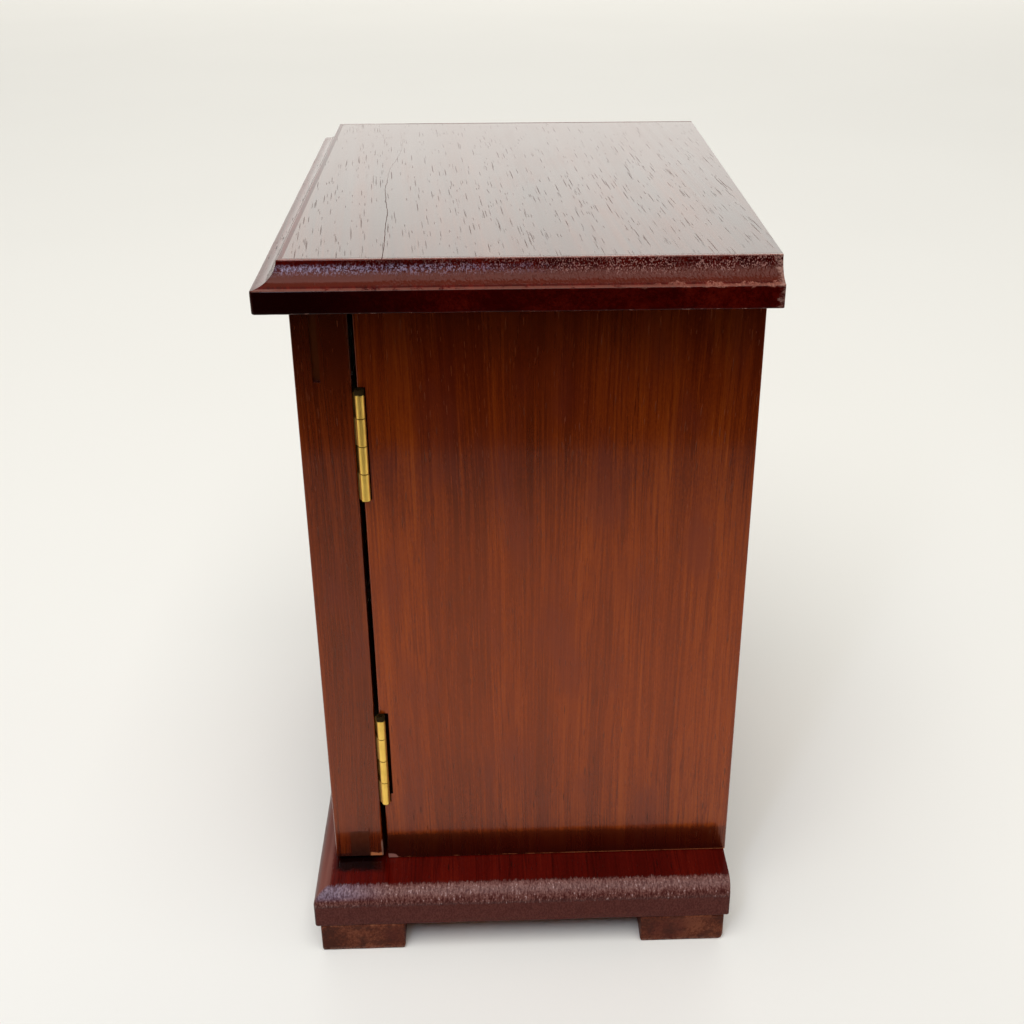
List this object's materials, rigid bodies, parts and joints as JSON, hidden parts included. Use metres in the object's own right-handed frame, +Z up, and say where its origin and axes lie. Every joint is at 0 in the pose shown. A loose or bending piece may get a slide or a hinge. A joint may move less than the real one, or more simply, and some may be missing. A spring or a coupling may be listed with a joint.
{
  "type": "miniature wardrobe",
  "caption": "Dolls house wardrobe in stained mahogany: moulded top and base boards, block feet, and framed overlay doors on brass butt hinges over a shelf and hanging rail.",
  "frame": {"origin": "middle of the footprint, on the plane that the feet stand on", "axes": "+Z up, doors face -Y, +X to the right of someone facing the doors"},
  "size_m": [0.1446, 0.1084, 0.1784],
  "materials": {
    "mahogany_top": "satin lacquer over dark red stain, open pores",
    "mahogany": "satin lacquer over dark red stain",
    "mahogany_inner": "thin stain, nearly matt",
    "brass": "drawn brass, lightly tarnished",
    "steel": "zinc plated",
    "magnet_steel": "nickel plated"
  },
  "bodies": {
    "carcass": {"top_board": "mahogany_top", "base_board": "mahogany", "back_panel": "mahogany_inner", "hat_shelf": "mahogany_inner", "hanging_rail": "mahogany_inner", "top_front_rail": "mahogany", "side_panel_right": "mahogany", "side_panel_left": "mahogany", "foot_front_right": "mahogany", "foot_front_left": "mahogany", "foot_rear_right": "mahogany", "foot_rear_left": "mahogany", "catch_magnet_right": "magnet_steel", "catch_magnet_left": "magnet_steel", "hinge_leaf_carcass_upper_right": "brass", "hinge_leaf_carcass_upper_left": "brass", "hinge_pin_upper_right": "brass", "hinge_pin_upper_left": "brass", "carcass_screw_upper_top_right": "brass", "carcass_screw_upper_top_left": "brass", "carcass_screw_upper_bottom_right": "brass", "carcass_screw_upper_bottom_left": "brass", "hinge_leaf_carcass_lower_right": "brass", "hinge_leaf_carcass_lower_left": "brass", "hinge_pin_lower_right": "brass", "hinge_pin_lower_left": "brass", "carcass_screw_lower_top_right": "brass", "carcass_screw_lower_top_left": "brass", "carcass_screw_lower_bottom_right": "brass", "carcass_screw_lower_bottom_left": "brass"},
    "door_right": {"hinge_stile_right": "mahogany", "closing_stile_right": "mahogany", "door_top_rail_right": "mahogany", "door_bottom_rail_right": "mahogany", "door_panel_right": "mahogany", "knob_right": "brass", "knob_screw_right": "steel", "catch_plate_right": "steel", "hinge_leaf_door_upper_right": "brass", "door_screw_upper_top_right": "brass", "door_screw_upper_bottom_right": "brass", "hinge_leaf_door_lower_right": "brass", "door_screw_lower_top_right": "brass", "door_screw_lower_bottom_right": "brass"},
    "door_left": {"hinge_stile_left": "mahogany", "closing_stile_left": "mahogany", "door_top_rail_left": "mahogany", "door_bottom_rail_left": "mahogany", "door_panel_left": "mahogany", "knob_left": "brass", "knob_screw_left": "steel", "catch_plate_left": "steel", "hinge_leaf_door_upper_left": "brass", "door_screw_upper_top_left": "brass", "door_screw_upper_bottom_left": "brass", "hinge_leaf_door_lower_left": "brass", "door_screw_lower_top_left": "brass", "door_screw_lower_bottom_left": "brass"}
  },
  "joints": [
    {"name": "door_right_hinge", "type": "hinge", "parent": "carcass", "child": "door_right", "pos_m": [0.05995, -0.03305, 0.0922], "axis": [0, 0, 1], "range_deg": [0, 180]},
    {"name": "door_left_hinge", "type": "hinge", "parent": "carcass", "child": "door_left", "pos_m": [-0.05995, -0.03305, 0.0922], "axis": [0, 0, -1], "range_deg": [0, 180]}
  ]
}
